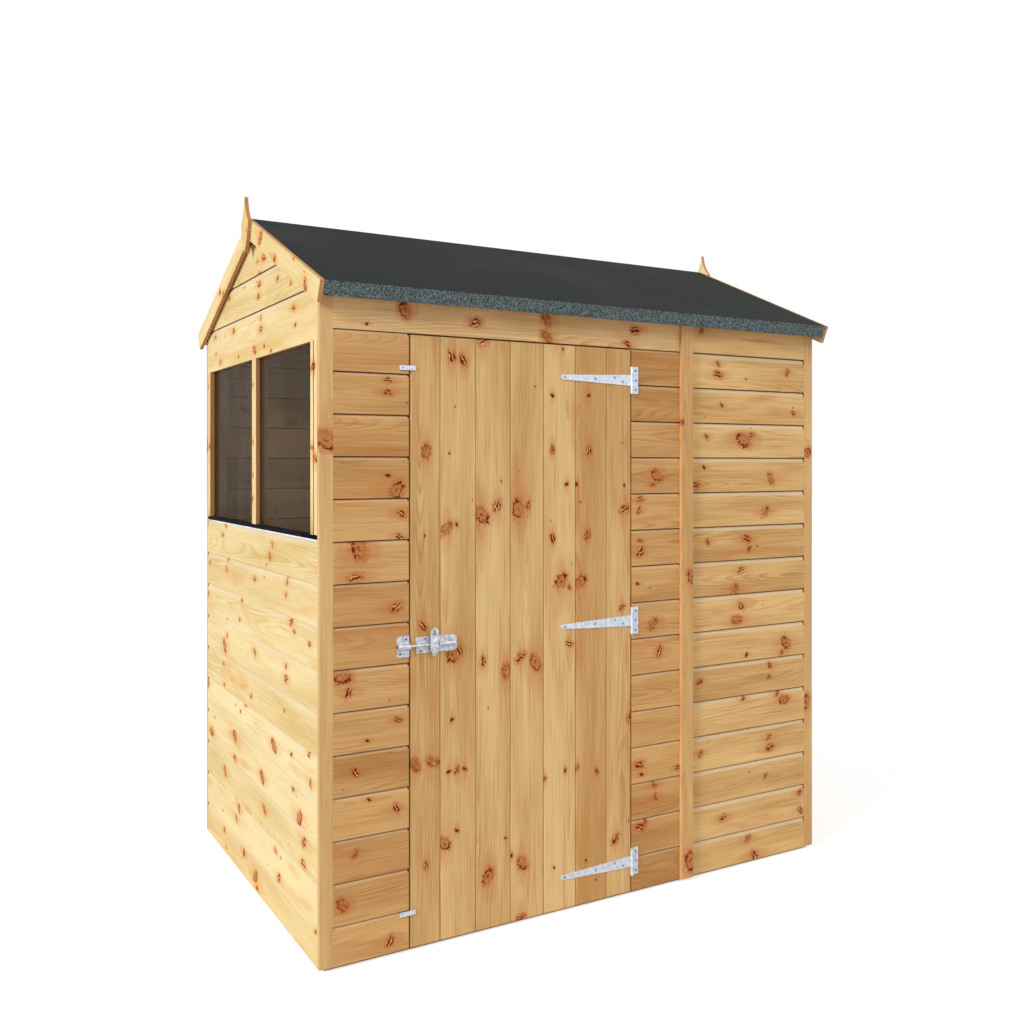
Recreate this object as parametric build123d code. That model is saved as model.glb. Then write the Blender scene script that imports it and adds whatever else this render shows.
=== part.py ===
"""A small wooden garden shed, 6 by 4 feet, with its door in the long front wall.

The frame of the model: +X runs along the front towards the hinge side of the door, +Y runs
from the front to the back, +Z is up. The origin is on the ground, at the centre of the plan.
All sizes are millimetres.
"""
import math
import os

from build123d import *

# Overall size of the walls, outside the cladding.
wall_length = 1800.0
wall_depth = 1218.0
left = -wall_length / 2
right = wall_length / 2
front = -wall_depth / 2
back = wall_depth / 2

# Heights above the ground. The cladding hangs past the floor and stops just above the ground.
ground_gap = 12.0
bearer_height = 28.0
floor_thickness = 11.0
floor_top = bearer_height + floor_thickness
ridge_top = ground_gap + 2104.0
wall_plate_top = ground_gap + 1822.0

# Timber sections.
board_thickness = 12.0
stud = 28.0
corner_strip_width = 38.0
corner_strip_depth = 16.0
trim_width = 44.0
floor_inset = 17.0
floor_board_count = 18
vee_half = 2.5
vee_depth = 2.5

# Shiplap cladding: one course, the coved top of a board and the shadow gap above it.
course = 113.6
lowest_joint = ground_gap + 105.0
cove_height = 15.0
cove_depth = 4.5
joint_gap = 2.5
gable_joint_gap = 1.0
joint_depth = 7.5

# The roof: its slope, what it is built up from and how far it reaches past the walls.
slope = math.radians(23.8)
eaves_reach = 58.0
verge_reach = 6.0
felt = 2.0
roof_board = 9.0
roof_board_width = 90.0
roof_vee_depth = 1.5
eaves_rail = 30.0
bargeboard_width = 60.0
bargeboard_thickness = 12.0
roof_left = left - verge_reach
roof_right = right + verge_reach

# The doorway in the front wall and the leaf in it.
door_left = left + 262.0
door_right = left + 1012.0
door_gap = 5.0
opening_left = door_left - door_gap
opening_right = door_right + door_gap
joint_over_door = lowest_joint + 14 * course
door_top = joint_over_door - door_gap
door_board = 113.5
door_middle = (door_left + door_right) / 2

# The joint between the two front panels and the strip that covers it.
panel_joint = left + 1231.0
cover_strip_width = 46.0

# The window in the left gable, which has two fixed panes. Its trims stand clear of the coved
# top of the board below, so that rain runs off.
window_bottom = ground_gap + 1138.5
window_drip_gap = 7.0
window_head_low = ground_gap + 1664.0
window_head_high = window_head_low + trim_width
window_edge = front + 62.0
pane_thickness = 3.0

# The three tee hinges.
hinge_heights = {
    "top": ground_gap + 1595.0,
    "middle": ground_gap + 845.0,
    "bottom": ground_gap + 93.0,
}
hinge_x = left + 1014.5
knuckle_radius = 5.0
pin_radius = 2.5
hinge_y = front - knuckle_radius
hinge_plate_height = 84.0
hinge_sheet = 2.5
screw_hole_radius = 2.3
hole_reach = 6.0
strap_length = 261.0
strap_root = 34.0
strap_tip = 14.0
strap_nose = 6.0
strap_point = 5.0
strap_screws = ((-247.0, 0.0), (-135.5, 0.0), (-64.0, 6.0), (-33.5, -7.0))

# The pad bolt and the two turn buttons.
bolt_height = ground_gap + 832.0
bolt_bar_radius = 3.5
bolt_bar_y = front - 7.0
bolt_plate_left = left + 278.0
bolt_plate_right = left + 404.0
bolt_plate_height = 45.0
keeper_left = left + 221.0
keeper_right = left + 257.0
keeper_height = 58.0
keeper_bore = 6.0
bolt_tip = keeper_right + 2.0
button_length = 48.0
button_height = 12.5
button_screw_inset = 9.0
button_pivot_x = left + 268.0
button_heights = {"top": ground_gap + 1599.0, "bottom": ground_gap + 97.0}

os.makedirs("parts", exist_ok=True)


def block(x0, x1, y0, y1, z0, z1):
    """A rectangular piece between two corners."""
    middle = Pos((x0 + x1) / 2, (y0 + y1) / 2, (z0 + z1) / 2)
    return middle * Box(x1 - x0, y1 - y0, z1 - z0)


def along_x(outline, x0, x1):
    """A prism whose (y, z) outline runs from x0 to x1."""
    face = make_face(Polyline(*outline, close=True))
    return extrude(Plane.YZ.offset(x0) * face, amount=x1 - x0)


def along_y(outline, y0, y1):
    """A prism whose (x, z) outline runs from y0 to y1."""
    plane = Plane(origin=(0, y1, 0), x_dir=(1, 0, 0), z_dir=(0, -1, 0))
    face = make_face(Polyline(*outline, close=True))
    return extrude(plane * face, amount=y1 - y0)


def with_vees(start, end, joints, level, depth):
    """A straight edge from start to end at one level, with a V of some depth at each joint."""
    line = [(start, level)]
    for joint in joints:
        line += [(joint - vee_half, level), (joint, level + depth), (joint + vee_half, level)]
    return line + [(end, level)]


def save(name, *solids):
    """Write one node, a single solid or several that don't touch."""
    shape = solids[0] if len(solids) == 1 else Compound(children=list(solids))
    export_step(shape, os.path.join("parts", name + ".step"))


def joints_between(low, high, gap, coved_top):
    """Heights of the joints between boards in a stretch of wall, and over a coved top."""
    heights = [lowest_joint + k * course for k in range(20)]
    if coved_top:
        inner = [z for z in heights if low + cove_height < z < high - cove_height]
        return inner + [high + gap]
    return [z for z in heights if low + cove_height < z <= high + gap]


def shiplap(width, low, high, gap=joint_gap, coved_top=False):
    """Shiplap boards from z = low to high, face at y = 0, x from 0 to width.

    Each board's top edge is coved back under the square bottom edge of the next.
    """
    edges = []
    at = (0.0, low)

    def line_to(point):
        nonlocal at
        edges.append(Edge.make_line((0, *at), (0, *point)))
        at = point

    for z in joints_between(low, high, gap, coved_top):
        cove_top = (cove_depth, z - gap)
        line_to((0.0, z - cove_height))
        bend = (cove_depth * 0.32, z - gap - 0.42 * (cove_height - gap))
        edges.append(Edge.make_three_point_arc((0, *at), (0, *bend), (0, *cove_top)))
        at = cove_top
        if z > high:
            break
        line_to((joint_depth, z - gap))
        line_to((joint_depth, z))
        line_to((0.0, z))
    if at[0] == 0.0 and at[1] < high:
        line_to((0.0, high))
    line_to((board_thickness, at[1]))
    line_to((board_thickness, low))
    line_to((0.0, low))
    return extrude(Face(Wire(edges)), amount=width, dir=(1, 0, 0))


def front_boards(x0, x1, low, high):
    """Shiplap on the front wall."""
    return Pos(x0, front, 0) * shiplap(x1 - x0, low, high)


def back_boards(x0, x1, low, high):
    """Shiplap on the back wall, facing +Y."""
    return Pos(x1, back, 0) * Rot(0, 0, 180) * shiplap(x1 - x0, low, high)


def left_boards(low, high, coved_top=False):
    """Shiplap on the left gable, facing -X, driven up tighter than on the long walls."""
    boards = shiplap(gable_back - gable_front, low, high, gable_joint_gap, coved_top)
    return Pos(left, gable_back, 0) * Rot(0, 0, -90) * boards


def right_boards(low, high):
    """Shiplap on the right gable, facing +X."""
    boards = shiplap(gable_back - gable_front, low, high, gable_joint_gap)
    return Pos(right, gable_front, 0) * Rot(0, 0, 90) * boards


def roof_z(y, depth_below):
    """Height of the plane that lies depth_below the top of the roof, over a place y."""
    return ridge_top - depth_below / math.cos(slope) - abs(y) * math.tan(slope)


def eaves_point(depth_below, up_slope):
    """A point (y, z) near the front eaves, measured square to the roof and up its slope."""
    edge_y = front - eaves_reach
    edge_z = roof_z(edge_y, 0.0)
    y = edge_y + depth_below * math.sin(slope) + up_slope * math.cos(slope)
    z = edge_z - depth_below * math.cos(slope) + up_slope * math.sin(slope)
    return (y, z)


def both_sides(outline):
    """An outline for the front slope and its mirror image for the rear slope."""
    return outline, [(-y, z) for y, z in outline]


def under_roof(x0, x1, y0, y1, low, depth_below):
    """A piece with upright sides and a top that follows both slopes of the roof."""
    outline = [(y0, low), (y1, low), (y1, roof_z(y1, depth_below))]
    outline += [(0.0, roof_z(0.0, depth_below)), (y0, roof_z(y0, depth_below))]
    return along_x(outline, x0, x1)


roof_underside = felt + roof_board
inner_left = left + board_thickness
inner_right = right - board_thickness
frame_left = inner_left + stud
frame_right = inner_right - stud
frame_front = front + board_thickness
frame_back = back - board_thickness
gable_front = front + corner_strip_depth
gable_back = back - corner_strip_depth
beam_half = stud / 2
beam_low = roof_z(0.0, roof_underside) - 84.0


# The base: four bearers on the ground and the boarded floor on them.

bearer_width = 34.0
bearer_count = 4
bearer_pitch = (wall_depth - 2 * floor_inset - bearer_width) / (bearer_count - 1)
bearers = []
for row in range(bearer_count):
    y0 = front + floor_inset + row * bearer_pitch
    bearers.append(block(left + floor_inset, right - floor_inset, y0, y0 + bearer_width,
                         0.0, bearer_height))
save("floor_bearers", *bearers)

floor_left = left + floor_inset
floor_right = right - floor_inset
floor_board_width = (floor_right - floor_left) / floor_board_count
floor_joints = [floor_left + k * floor_board_width for k in range(1, floor_board_count)]
floor_outline = with_vees(floor_left, floor_right, floor_joints, floor_top, -vee_depth)
floor_outline += [(floor_right, bearer_height), (floor_left, bearer_height)]
save("floor_boards", along_y(floor_outline, front + floor_inset, back - floor_inset))


# The front wall: cladding beside and over the doorway, corner strips and the cover strip.

corner_left = left + corner_strip_width
corner_right = right - corner_strip_width
save("front_cladding_left",
     front_boards(corner_left, opening_left, ground_gap, joint_over_door - joint_gap))
save("front_cladding_middle",
     front_boards(opening_right, panel_joint - 1, ground_gap, joint_over_door - joint_gap))
save("front_cladding_right",
     front_boards(panel_joint + 1, corner_right, ground_gap, wall_plate_top))
save("front_lintel_board",
     block(corner_left, panel_joint - 1, front, frame_front, joint_over_door, wall_plate_top))
save("front_cover_strip",
     block(panel_joint - cover_strip_width / 2, panel_joint + cover_strip_width / 2,
           front - board_thickness, front, ground_gap, wall_plate_top - 40))


def corner_strips(y0, y1):
    """The two upright strips that close the ends of a long wall."""
    strips = []
    for x0 in (left, corner_right):
        strips.append(block(x0, x0 + corner_strip_width, y0, y1, ground_gap, wall_plate_top))
    return strips


save("corner_strips", *corner_strips(front, gable_front), *corner_strips(gable_back, back))
save("back_cladding", back_boards(corner_left, corner_right, ground_gap, wall_plate_top))


# Framing of the long walls: studs, and rails between them.

top_rail_low = wall_plate_top - stud
front_studs_x = [frame_left, opening_left - stud, opening_right, panel_joint - 1 - stud,
                 panel_joint + 1, (panel_joint + frame_right) / 2 - stud / 2,
                 frame_right - stud]
back_studs_x = [frame_left + k * (frame_right - frame_left - stud) / 4 for k in range(5)]
mid_rail_low = ground_gap + 884.0


def stud_row(places, y0):
    """Studs of a long wall, standing on the floor."""
    return [block(x, x + stud, y0, y0 + stud, floor_top, wall_plate_top) for x in places]


def rail_rows(places, y0, levels, open_bay=None):
    """Rails between neighbouring studs at each level, left out across the doorway."""
    rails = []
    for number, (x, following) in enumerate(zip(places, places[1:])):
        if following - (x + stud) < stud:
            continue
        for low in levels:
            if number == open_bay and low < door_top:
                continue
            rails.append(block(x + stud, following, y0, y0 + stud, low, low + stud))
    return rails


save("front_studs", *stud_row(front_studs_x, frame_front))
save("front_rails",
     *rail_rows(front_studs_x, frame_front, [floor_top, mid_rail_low, top_rail_low], open_bay=1),
     block(opening_left, opening_right, frame_front, frame_front + stud,
           joint_over_door, joint_over_door + stud))
save("back_studs", *stud_row(back_studs_x, frame_back - stud))
save("back_rails", *rail_rows(back_studs_x, frame_back - stud,
                              [floor_top, mid_rail_low, top_rail_low]))


# The gables: cladding cut to the roof, framing, and the window in the left one.

# The ridge beam runs out through a notch in both gables, a little wider than the beam.
notch_half = beam_half + 9.0
gable_shape = under_roof(left - 1, right + 1, gable_front, gable_back, ground_gap, roof_underside)
gable_shape -= block(left - 1, right + 1, -notch_half, notch_half, beam_low, ridge_top)
save("left_cladding_lower", left_boards(ground_gap, window_bottom, coved_top=True))
save("left_cladding_upper", left_boards(window_head_high, ridge_top) & gable_shape)
save("right_cladding", right_boards(ground_gap, ridge_top) & gable_shape)

trim_low = window_bottom + window_drip_gap
window_back = -window_edge


def window_upright(y0):
    """A trim beside or between the panes."""
    return block(left, inner_left, y0, y0 + trim_width, trim_low, window_head_low)


save("window_head_trim",
     block(left, inner_left, gable_front, gable_back, window_head_low, window_head_high))
save("window_jamb_trims", window_upright(window_edge - trim_width), window_upright(window_back))
save("window_mullion", window_upright(-trim_width / 2))

sill_low = window_bottom - 35.0
head_low = window_head_low + 4.0
gable_studs_y = [gable_front, -stud / 2, gable_back - stud]
rafter_low = roof_underside + stud


def gable_stud_row(x0):
    """The corner studs and the middle stud of a gable, cut under the rafters."""
    studs = []
    for y in gable_studs_y:
        top = min(roof_z(y, rafter_low), roof_z(y + stud, rafter_low))
        if abs(y + stud / 2) < stud:
            top = beam_low
        studs.append(block(x0, x0 + stud, y, y + stud, floor_top, top))
    return studs


def gable_rails(x0, levels):
    """Rails between the studs of a gable."""
    rails = []
    for y, following in zip(gable_studs_y, gable_studs_y[1:]):
        for low in levels:
            rails.append(block(x0, x0 + stud, y + stud, following, low, low + stud))
    return rails


def rafter_pair(x0):
    """Two sloping rails under the roof boards, either side of the ridge beam."""
    outline = [(gable_front, roof_z(gable_front, roof_underside)),
               (-beam_half, roof_z(beam_half, roof_underside)),
               (-beam_half, roof_z(beam_half, rafter_low)),
               (gable_front, roof_z(gable_front, rafter_low))]
    return [along_x(side, x0, x0 + stud) for side in both_sides(outline)]


save("gable_studs", *gable_stud_row(inner_left), *gable_stud_row(frame_right))
save("gable_rails", *gable_rails(inner_left, [floor_top, sill_low, head_low]),
     *gable_rails(frame_right, [floor_top, mid_rail_low, head_low]))
save("gable_rafters", *rafter_pair(inner_left), *rafter_pair(frame_right))

pane_low = sill_low + stud + 1
pane_high = head_low - 1
panes = []
for y, following in zip(gable_studs_y, gable_studs_y[1:]):
    panes.append(block(inner_left, inner_left + pane_thickness, y + stud + 1, following - 1,
                       pane_low, pane_high))
save("window_panes", *panes)


# The roof: boards, felt that turns down over the eaves, rails, ridge beam and purlins.

board_outline = [(0.0, roof_z(0.0, felt)), eaves_point(felt, felt)]
board_outline += [eaves_point(roof_underside - depth, up_slope) for up_slope, depth in with_vees(
    felt, 8 * roof_board_width, [k * roof_board_width for k in range(1, 8)], 0.0, roof_vee_depth)]
board_outline[-1] = (0.0, roof_z(0.0, roof_underside))
felt_drop = roof_underside + eaves_rail
felt_outline = [(0.0, ridge_top), eaves_point(0.0, 0.0), eaves_point(felt_drop, 0.0),
                eaves_point(felt_drop, felt), eaves_point(felt, felt), (0.0, roof_z(0.0, felt))]
rail_outline = [eaves_point(roof_underside, felt), eaves_point(felt_drop, felt),
                eaves_point(felt_drop, felt + stud), eaves_point(roof_underside, felt + stud)]

for name, outline in (("roof_boards", board_outline), ("roof_felt", felt_outline)):
    front_side, rear_side = both_sides(outline)
    save(name + "_front", along_x(front_side, roof_left, roof_right))
    save(name + "_rear", along_x(rear_side, roof_left, roof_right))
save("eaves_rails", *[along_x(side, roof_left, roof_right) for side in both_sides(rail_outline)])

save("ridge_beam", under_roof(left, right, -beam_half, beam_half, beam_low, roof_underside))

purlin_y = -wall_depth / 4
purlin_outline = [(purlin_y, roof_z(purlin_y, roof_underside)),
                  (purlin_y + stud, roof_z(purlin_y + stud, roof_underside)),
                  (purlin_y + stud, roof_z(purlin_y + stud, roof_underside) - 44.0),
                  (purlin_y, roof_z(purlin_y + stud, roof_underside) - 44.0)]
save("roof_purlins", *[along_x(side, frame_left, frame_right)
                       for side in both_sides(purlin_outline)])


# Bargeboards on the ends of the roof, cut square at the eaves and mitred at the ridge.

board_end = eaves_point(0.0, 0.0)
board_heel = eaves_point(bargeboard_width, 0.0)
barge_outline = [(0.0, ridge_top), board_end, board_heel, (0.0, roof_z(0.0, bargeboard_width))]
for name, outline in zip(("bargeboards_front", "bargeboards_rear"), both_sides(barge_outline)):
    save(name, *[along_x(outline, x0, x0 + bargeboard_thickness)
                 for x0 in (roof_left - bargeboard_thickness, roof_right)])

# Finials over the mitres: a spade with hollow shoulders above and a blunt point below.

finial_half = 40.0
finial_tip = ridge_top + 66.0
finial_shoulder = ridge_top - 14.0
finial_foot = ridge_top - 108.0


def finial(x0):
    """A flat spade, x0 to x0 plus a board's thickness."""
    tip = (0.0, finial_tip)
    foot = (0.0, finial_foot)
    edges = []
    for side in (-1, 1):
        shoulder = (side * finial_half, finial_shoulder)
        hollow = (side * finial_half * 0.34, (finial_tip + finial_shoulder) / 2 - 6.0)
        belly = (side * finial_half * 0.66, (finial_foot + finial_shoulder) / 2 - 4.0)
        edges.append(Edge.make_three_point_arc((x0, *tip), (x0, *hollow), (x0, *shoulder)))
        edges.append(Edge.make_three_point_arc((x0, *shoulder), (x0, *belly), (x0, *foot)))
    outline = Face(Wire(edges))
    return extrude(outline, amount=bargeboard_thickness, dir=(1, 0, 0))


save("finials", finial(roof_left - 2 * bargeboard_thickness),
     finial(roof_right + bargeboard_thickness))


# The door: upright boards with a V at each joint, ledges and braces behind them.

door_joints = [door_middle + (k - 2.5) * door_board for k in range(6)]
leaf_outline = with_vees(door_left, door_right, door_joints, front, vee_depth)
leaf_outline += [(door_right, frame_front), (door_left, frame_front)]
leaf_face = make_face(Polyline(*leaf_outline, close=True))
save("door_boards", Pos(0, 0, ground_gap) * extrude(leaf_face, amount=door_top - ground_gap))

ledge_height = 90.0
ledge_thickness = 20.0
ledge_left = door_left + 30.0
ledge_right = door_right - 30.0
ledge_back = frame_front + ledge_thickness
ledges = []
for z in hinge_heights.values():
    ledges.append(block(ledge_left, ledge_right, frame_front, ledge_back,
                        z - ledge_height / 2, z + ledge_height / 2))
save("door_ledges", *ledges)

brace_width = 80.0
braces = []
for below, above in (("bottom", "middle"), ("middle", "top")):
    low = hinge_heights[below] + ledge_height / 2
    high = hinge_heights[above] - ledge_height / 2
    braces.append(along_y([(ledge_right, low), (ledge_left + brace_width, high),
                           (ledge_left, high), (ledge_right - brace_width, low)],
                          frame_front, ledge_back))
save("door_braces", *braces)


# Screw holes are ten-sided, so that the many of them stay light.

def without_screw_holes(plate, places):
    """A plate on the front of the shed with a screw hole through it at each (x, z)."""
    for x, z in places:
        hole = extrude(RegularPolygon(screw_hole_radius, 10), amount=2 * hole_reach)
        plate -= Pos(x, front + hole_reach, z) * Rot(90, 0, 0) * hole
    return plate


# Tee hinges: a tapered strap on the leaf, an upright plate on the post, one pin.

axial_gap = 0.4
strap_bore = pin_radius + 0.06


def knuckle(z0, z1, bore=None):
    """A piece of hinge knuckle between two heights, bored if it turns on the pin."""
    middle = Pos(hinge_x, hinge_y, (z0 + z1) / 2)
    barrel = middle * Cylinder(knuckle_radius, z1 - z0)
    if bore:
        barrel -= middle * Cylinder(bore, z1 - z0)
    return barrel


def strap(z):
    """The long tapered leaf of a tee hinge, with a cut nose and four screw holes."""
    root = hinge_x - 2.0
    tip = hinge_x - strap_length
    halves = [(root, strap_root / 2), (tip + strap_nose, strap_tip / 2), (tip, strap_point / 2)]
    outline = [(x, z + half) for x, half in halves]
    outline += [(x, z - half) for x, half in reversed(halves)]
    places = [(hinge_x + along, z + up) for along, up in strap_screws]
    plate = without_screw_holes(along_y(outline, front - hinge_sheet, front), places)
    sleeve = knuckle(z - strap_root / 2 + axial_gap, z + strap_root / 2 - axial_gap, strap_bore)
    return plate + sleeve


def post_plate(z):
    """The upright leaf on the post, its two knuckles and the pin they hold."""
    x0 = hinge_x + 3.0
    low = z - hinge_plate_height / 2
    high = z + hinge_plate_height / 2
    plate = block(x0, x0 + 23.0, front - hinge_sheet, front, low, high)
    plate = without_screw_holes(plate, [(x0 + 13.0, z + offset) for offset in (-30, 0, 30)])
    pin = Pos(hinge_x, hinge_y, z) * Cylinder(pin_radius, hinge_plate_height)
    turn_room = block(x0 - 1, hinge_x + knuckle_radius + 0.6, hinge_y, front,
                      z - strap_root / 2, z + strap_root / 2)
    barrel = knuckle(low, z - strap_root / 2) + knuckle(z + strap_root / 2, high)
    return (plate - turn_room) + barrel + pin


save("hinge_straps", *[strap(z) for z in hinge_heights.values()])
save("hinge_plates", *[post_plate(z) for z in hinge_heights.values()])


# The pad bolt: a pressed plate on the leaf, a keeper on the post, and the sliding bolt.

guide_radius = 7.0
guide_bore = bolt_bar_radius + 0.1
collar_length = 9.0
channel_left = bolt_plate_left + 12.0
channel_right = bolt_plate_left + 46.0
channel_half = 4.5
channel_rib = 2.5
housing_left = bolt_plate_left + 68.0
housing_right = bolt_plate_right - 8.0
housing_half = 17.0
housing_rise = 4.0


def rod(x0, x1, radius):
    """A round bar along X on the line of the bolt."""
    return Pos((x0 + x1) / 2, bolt_bar_y, bolt_height) * Rot(0, 90, 0) * Cylinder(radius, x1 - x0)


def arch(radius, x0, x1):
    """A half round over the bar, carried down to the wall by two upright sides."""
    sides = block(x0, x1, bolt_bar_y, front, bolt_height - radius, bolt_height + radius)
    return sides + rod(x0, x1, radius)


def cut_corners(x0, x1, half, cut):
    """An upright plate's outline about the bolt's height, its right-hand corners cut off."""
    low = bolt_height - half
    high = bolt_height + half
    return [(x0, low), (x0, high), (x1 - cut, high), (x1, high - cut), (x1, low + cut),
            (x1 - cut, low)]


# The plate has a collar for the bar at its left end, an open channel that the handle travels
# along, and a raised housing that the far end of the bar slides into.
plate_half = bolt_plate_height / 2
plate_low = bolt_height - plate_half
plate_high = bolt_height + plate_half
plate_front = front - hinge_sheet
bolt_plate = along_y(cut_corners(bolt_plate_left, bolt_plate_right, plate_half, 8.0),
                     plate_front, front)
bolt_plate += arch(guide_radius, bolt_plate_left, bolt_plate_left + collar_length)
bolt_plate += arch(guide_radius, housing_left, housing_right)
bolt_plate += along_y(cut_corners(housing_left, housing_right, housing_half, 5.0),
                      plate_front - housing_rise, front)
bolt_plate -= rod(bolt_plate_left - 1, housing_right + 1, guide_bore)
for low in (bolt_height + channel_half, bolt_height - channel_half - channel_rib):
    bolt_plate += block(channel_left, channel_right, bolt_bar_y, front, low, low + channel_rib)
save("bolt_plate", without_screw_holes(bolt_plate, [
    (bolt_plate_left + 13, plate_low + 6), (bolt_plate_left + 28, plate_high - 6),
    (bolt_plate_left + 62, plate_low + 6), (bolt_plate_left + 62, plate_high - 6)]))

# The keeper is a plate whose middle is pressed out in an arch. Two of its screws are flush.
keeper_low = bolt_height - keeper_height / 2
keeper_high = bolt_height + keeper_height / 2
keeper = block(keeper_left, keeper_right, plate_front, front, keeper_low, keeper_high)
keeper += arch(keeper_bore + hinge_sheet, keeper_left, keeper_right)
keeper -= arch(keeper_bore, keeper_left - 1, keeper_right + 1)
keeper &= block(keeper_left, keeper_right, front - 40, front, keeper_low, keeper_high)
save("bolt_keeper", without_screw_holes(keeper, [
    (keeper_left + 9, keeper_low + 9), (keeper_right - 9, keeper_high - 9)]))

# The bolt itself: the bar, a neck, and a flat handle with a padlock eye above and a tail below.
handle_x = bolt_plate_left + 50.0
handle_half = 12.0
eye_height = bolt_height + 36.0
handle_back = bolt_bar_y - guide_radius - 0.5
handle_front = handle_back - hinge_sheet
tail_low = bolt_height - 30.0
handle_outline = [(handle_x - handle_half, bolt_height - 8), (handle_x - 5, tail_low),
                  (handle_x + 5, tail_low), (handle_x + handle_half, bolt_height - 8),
                  (handle_x + handle_half, eye_height), (handle_x - handle_half, eye_height)]
handle = along_y(handle_outline, handle_front, handle_back)
eye_at = Pos(handle_x, (handle_front + handle_back) / 2, eye_height) * Rot(90, 0, 0)
handle += eye_at * Cylinder(handle_half, hinge_sheet)
handle -= block(handle_x - 3, handle_x + 3, handle_back - 10, handle_back + 10,
                eye_height - 9, eye_height + 5)
neck = block(handle_x - 4, handle_x + 4, handle_back, bolt_bar_y, bolt_height - 3, bolt_height + 3)
knob_radius = 8.0
knob_length = 7.0
knob = Cylinder(knob_radius, knob_length)
knob = fillet(knob.edges().sort_by(Axis.Z)[-1], 2.5)
knob = Pos(handle_x + 3, handle_front - knob_length / 2, bolt_height + 11) * Rot(90, 0, 0) * knob
save("bolt_bar", rod(bolt_tip, bolt_plate_right - 20, bolt_bar_radius) + neck + handle + knob)


# Turn buttons: small straps that turn on a screw in the leaf and lie across its edge. The
# middle is pressed proud between the two screw holes.

button_clear = 0.5
button_rise = 0.8
screw_radius = 2.0
button_back = front - button_clear
button_face = button_back - hinge_sheet
button_right = button_pivot_x + button_screw_inset
button_left = button_right - button_length
button_holes = (button_pivot_x, button_left + button_screw_inset)
for place, z in button_heights.items():
    low = z - button_height / 2
    high = z + button_height / 2
    button = block(button_left, button_right, button_face, button_back, low, high)
    button += block(button_left + 15, button_right - 15, button_face - button_rise, button_back,
                    low, high)
    for x in button_holes:
        button -= Pos(x, front, z) * Rot(90, 0, 0) * Cylinder(screw_radius + 0.08, 12.0)
    save("turn_button_" + place, button)

screws = []
for z in button_heights.values():
    at_pivot = Pos(button_pivot_x, front - 2.0, z) * Rot(90, 0, 0)
    head_at = Pos(button_pivot_x, button_face - 0.9, z) * Rot(90, 0, 0)
    screws.append(at_pivot * Cylinder(screw_radius, 4.0) + head_at * Cylinder(4.0, 1.2))
save("turn_button_screws", *screws)
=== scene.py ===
# %% [markdown]
# A wooden garden shed
#
# The solids come packed from the CAD model, at their real size and in metres. They carry the
# shapes: the coved cladding boards, the door, the roof and the ironwork. What is added here is
# what makes them look like the real thing: pine with its grain and knots, roofing felt with its
# mineral grit, galvanised steel, glass, and the small pieces that are too fine for the solids.

# %% Load the solids
import math
from functools import partial

import bmesh
import bpy
import numpy as np
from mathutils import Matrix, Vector


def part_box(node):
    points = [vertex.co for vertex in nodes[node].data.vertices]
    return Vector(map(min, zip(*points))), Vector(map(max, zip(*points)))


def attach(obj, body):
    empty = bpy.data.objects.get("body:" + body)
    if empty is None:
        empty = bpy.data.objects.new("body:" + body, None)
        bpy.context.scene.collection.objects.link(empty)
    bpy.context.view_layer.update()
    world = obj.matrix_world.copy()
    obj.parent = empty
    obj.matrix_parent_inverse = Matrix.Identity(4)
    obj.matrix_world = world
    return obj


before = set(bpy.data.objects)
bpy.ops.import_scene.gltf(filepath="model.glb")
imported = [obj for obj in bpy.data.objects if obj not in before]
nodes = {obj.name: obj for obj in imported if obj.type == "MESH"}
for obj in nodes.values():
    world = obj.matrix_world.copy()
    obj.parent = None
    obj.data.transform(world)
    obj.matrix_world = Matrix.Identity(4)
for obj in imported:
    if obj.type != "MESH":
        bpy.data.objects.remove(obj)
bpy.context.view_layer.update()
MM = 0.001

# %% [markdown]
# The camera stands where the photographer's stood: at chest height and level, so that upright
# edges stay upright in the picture. A level camera that has to show the foot of the shed is
# shifted down rather than tilted. Its place and focal length follow from the corners of the
# walls, whose real distances are known. Lengths in the picture are counted in pixels.

# %% The camera
FRAME_PIXELS = 1024
FOCAL_PIXELS = 1027.4
HORIZON_PIXEL = 463.2
SENSOR = 36.0
CAMERA_AT = (-1.8124, -3.2031, 1.3483)
CAMERA_YAW = math.radians(-30.0)

camera_data = bpy.data.cameras.new("camera")
camera_data.sensor_width = SENSOR
camera_data.lens = SENSOR * FOCAL_PIXELS / FRAME_PIXELS
camera_data.shift_y = (HORIZON_PIXEL - FRAME_PIXELS / 2) / FRAME_PIXELS
camera = bpy.data.objects.new("camera", camera_data)
camera.location = CAMERA_AT
camera.rotation_euler = (math.pi / 2, 0.0, CAMERA_YAW)
bpy.context.scene.collection.objects.link(camera)
bpy.context.scene.camera = camera
bpy.context.scene.view_settings.view_transform = "Standard"
print("lens", round(camera_data.lens, 2), "mm, shift", round(camera_data.shift_y, 4))

# %% [markdown]
# Materials are node graphs. A graph is easier to read as sums and products than as boxes and
# wires, so a small class adds a node and hands back its output, ready for the next step.

# %% A short way to write node graphs
def linear(red, green, blue):
    """A screen colour, 0 to 255, as the linear light that Blender works in."""
    steps = (value / 255 for value in (red, green, blue))
    return (*[s / 12.92 if s <= 0.04045 else ((s + 0.055) / 1.055) ** 2.4 for s in steps], 1.0)


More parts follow.
